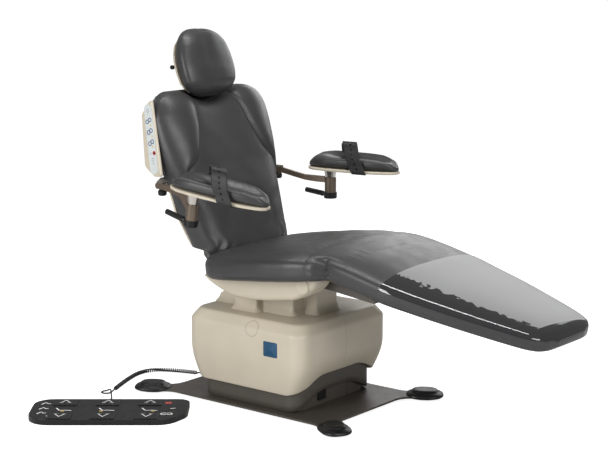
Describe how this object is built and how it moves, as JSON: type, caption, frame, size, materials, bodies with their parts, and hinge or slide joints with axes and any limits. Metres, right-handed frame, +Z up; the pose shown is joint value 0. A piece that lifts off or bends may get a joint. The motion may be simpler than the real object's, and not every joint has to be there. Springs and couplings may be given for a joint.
{
  "type": "oral surgery chair",
  "caption": "Powered oral surgery chair on a telescoping pedestal, with padded seat, legrest, back and headrest, swing-out armboards with straps, and a foot control on a curly cord.",
  "frame": {"origin": "centre of the base plate's underside, on the floor", "axes": "+Z up, +Y towards the head end, -Y towards the foot end, -X the patient's right"},
  "size_m": [1.2059, 1.6469, 1.2161],
  "materials": {
    "plate_paint": "satin grey-brown paint",
    "black_moulding": "fine grained black moulding",
    "beige_moulding": "semi-gloss beige moulding",
    "skirt_moulding": "matt grey-brown moulding",
    "machined_steel": "plain machined steel",
    "frame_paint": "black painted steel",
    "charcoal_upholstery": "charcoal upholstery vinyl",
    "clear_vinyl": "clear soft vinyl sheet",
    "bronze_paint": "taupe painted steel",
    "polished_steel": "polished steel",
    "strap_rubber": "matt dark grey rubber",
    "keypad_film": "printed polyester overlay"
  },
  "bodies": {
    "base": {"base_plate": "plate_paint", "foot_cap_front_right": "black_moulding", "foot_cap_front_left": "black_moulding", "foot_cap_rear_left": "black_moulding", "foot_cap_rear_right": "black_moulding", "inner_skirt": "skirt_moulding", "power_inlet": "black_moulding", "column_outer": "machined_steel", "lift_motor": "machined_steel", "cord_gland": "black_moulding", "foot_control_cord": "black_moulding", "foot_control_housing": "black_moulding"},
    "mid": {"mid_skirt": "skirt_moulding", "skirt_carrier": "frame_paint", "column_middle": "machined_steel"},
    "lift": {"column_inner": "machined_steel", "cover_right": "beige_moulding", "cover_left": "beige_moulding", "neck_shroud": "beige_moulding"},
    "seat": {"seat_frame": "frame_paint", "tilt_shaft": "machined_steel", "pan_right": "beige_moulding", "pan_left": "beige_moulding", "seat_cushion": "charcoal_upholstery", "knee_shaft": "machined_steel"},
    "leg": {"leg_frame": "frame_paint", "leg_cushion": "charcoal_upholstery", "foot_cover": "clear_vinyl"},
    "back": {"back_frame": "frame_paint", "back_hinge_pin": "machined_steel", "back_shell": "beige_moulding", "keypad_pod": "beige_moulding", "keypad_overlay": "keypad_film", "back_cushion": "charcoal_upholstery"},
    "headrest_slide": {"headrest_bar": "machined_steel"},
    "headrest": {"headrest_shell": "beige_moulding", "headrest_cushion": "charcoal_upholstery"},
    "headrest_lock": {"headrest_knob": "black_moulding"},
    "arm_right": {"arm_bar_right": "bronze_paint"},
    "arm_clamp_right": {"arm_knob_right": "black_moulding"},
    "arm_lock_right": {"arm_lever_right": "black_moulding"},
    "arm_board_right": {"arm_post_right": "polished_steel", "arm_tray_right": "beige_moulding", "arm_pad_right": "charcoal_upholstery", "arm_strap_right": "strap_rubber"},
    "arm_left": {"arm_bar_left": "bronze_paint"},
    "arm_clamp_left": {"arm_knob_left": "black_moulding"},
    "arm_lock_left": {"arm_lever_left": "black_moulding"},
    "arm_board_left": {"arm_post_left": "polished_steel", "arm_tray_left": "beige_moulding", "arm_pad_left": "charcoal_upholstery", "arm_strap_left": "strap_rubber"},
    "pedal_1_up": {"pedal_1_up": "black_moulding"},
    "pedal_1_down": {"pedal_1_down": "black_moulding"},
    "pedal_2_up": {"pedal_2_up": "black_moulding"},
    "pedal_2_down": {"pedal_2_down": "black_moulding"},
    "pedal_3_up": {"pedal_3_up": "black_moulding"},
    "pedal_3_down": {"pedal_3_down": "black_moulding"}
  },
  "joints": [
    {"name": "lift_slide", "type": "slide", "parent": "base", "child": "lift", "axis": [0, 0, 1], "range_m": [0, 0.3]},
    {"name": "skirt_slide", "type": "slide", "parent": "base", "child": "mid", "axis": [0, 0, 1], "range_m": [0, 0.15]},
    {"name": "seat_tilt", "type": "hinge", "parent": "lift", "child": "seat", "pos_m": [0, 0, 0.398], "axis": [1, 0, 0], "range_deg": [-6, 9]},
    {"name": "leg_tilt", "type": "hinge", "parent": "seat", "child": "leg", "pos_m": [0, -0.25, 0.447], "axis": [1, 0, 0], "range_deg": [-4, 20]},
    {"name": "back_recline", "type": "hinge", "parent": "seat", "child": "back", "pos_m": [0, 0.2236, 0.4432], "axis": [-1, 0, 0], "range_deg": [0, 62]},
    {"name": "headrest_height", "type": "slide", "parent": "back", "child": "headrest_slide", "axis": [0, 0.225, 0.9744], "range_m": [0, 0.1]},
    {"name": "headrest_tilt", "type": "hinge", "parent": "headrest_slide", "child": "headrest", "pos_m": [0, 0.4278, 1.0887], "axis": [-1, 0, 0], "range_deg": [-4, 25]},
    {"name": "headrest_knob_turn", "type": "hinge", "parent": "headrest_slide", "child": "headrest_lock", "pos_m": [0, 0.4278, 1.0887], "axis": [-1, 0, 0], "range_deg": [-90, 90]},
    {"name": "arm_swing_right", "type": "hinge", "parent": "back", "child": "arm_right", "pos_m": [-0.321, 0.264, 0.735], "axis": [0, 0, -1], "range_deg": [0, 90]},
    {"name": "arm_knob_turn_right", "type": "hinge", "parent": "arm_right", "child": "arm_clamp_right", "pos_m": [-0.321, 0.264, 0.72], "axis": [0, 0, 1], "range_deg": [-90, 90]},
    {"name": "arm_lever_turn_right", "type": "hinge", "parent": "arm_right", "child": "arm_lock_right", "pos_m": [-0.36, 0.098, 0.664], "axis": [0, -0.1564, 0.9877], "range_deg": [-30, 30]},
    {"name": "arm_board_turn_right", "type": "hinge", "parent": "arm_right", "child": "arm_board_right", "pos_m": [-0.36, 0.098, 0.664], "axis": [0, -0.1564, 0.9877], "range_deg": [-90, 90]},
    {"name": "arm_swing_left", "type": "hinge", "parent": "back", "child": "arm_left", "pos_m": [0.301, 0.288, 0.735], "axis": [0, 0, 1], "range_deg": [0, 90]},
    {"name": "arm_knob_turn_left", "type": "hinge", "parent": "arm_left", "child": "arm_clamp_left", "pos_m": [0.301, 0.288, 0.72], "axis": [0, 0, 1], "range_deg": [-90, 90]},
    {"name": "arm_lever_turn_left", "type": "hinge", "parent": "arm_left", "child": "arm_lock_left", "pos_m": [0.36, 0.098, 0.664], "axis": [0, 0, 1], "range_deg": [-30, 30]},
    {"name": "arm_board_turn_left", "type": "hinge", "parent": "arm_left", "child": "arm_board_left", "pos_m": [0.36, 0.098, 0.664], "axis": [0, 0, 1], "range_deg": [-90, 90]},
    {"name": "pedal_1_up_press", "type": "slide", "parent": "base", "child": "pedal_1_up", "axis": [0, 0, -1], "range_m": [0, 0.003], "stiffness_N_per_m": 1500, "springref_m": -0.003},
    {"name": "pedal_1_down_press", "type": "slide", "parent": "base", "child": "pedal_1_down", "axis": [0, 0, -1], "range_m": [0, 0.003], "stiffness_N_per_m": 1500, "springref_m": -0.003},
    {"name": "pedal_2_up_press", "type": "slide", "parent": "base", "child": "pedal_2_up", "axis": [0, 0, -1], "range_m": [0, 0.003], "stiffness_N_per_m": 1500, "springref_m": -0.003},
    {"name": "pedal_2_down_press", "type": "slide", "parent": "base", "child": "pedal_2_down", "axis": [0, 0, -1], "range_m": [0, 0.003], "stiffness_N_per_m": 1500, "springref_m": -0.003},
    {"name": "pedal_3_up_press", "type": "slide", "parent": "base", "child": "pedal_3_up", "axis": [0, 0, -1], "range_m": [0, 0.003], "stiffness_N_per_m": 1500, "springref_m": -0.003},
    {"name": "pedal_3_down_press", "type": "slide", "parent": "base", "child": "pedal_3_down", "axis": [0, 0, -1], "range_m": [0, 0.003], "stiffness_N_per_m": 1500, "springref_m": -0.003}
  ],
  "couplings": [
    {"joint": "skirt_slide", "follows": "lift_slide", "ratio": 0.5}
  ]
}
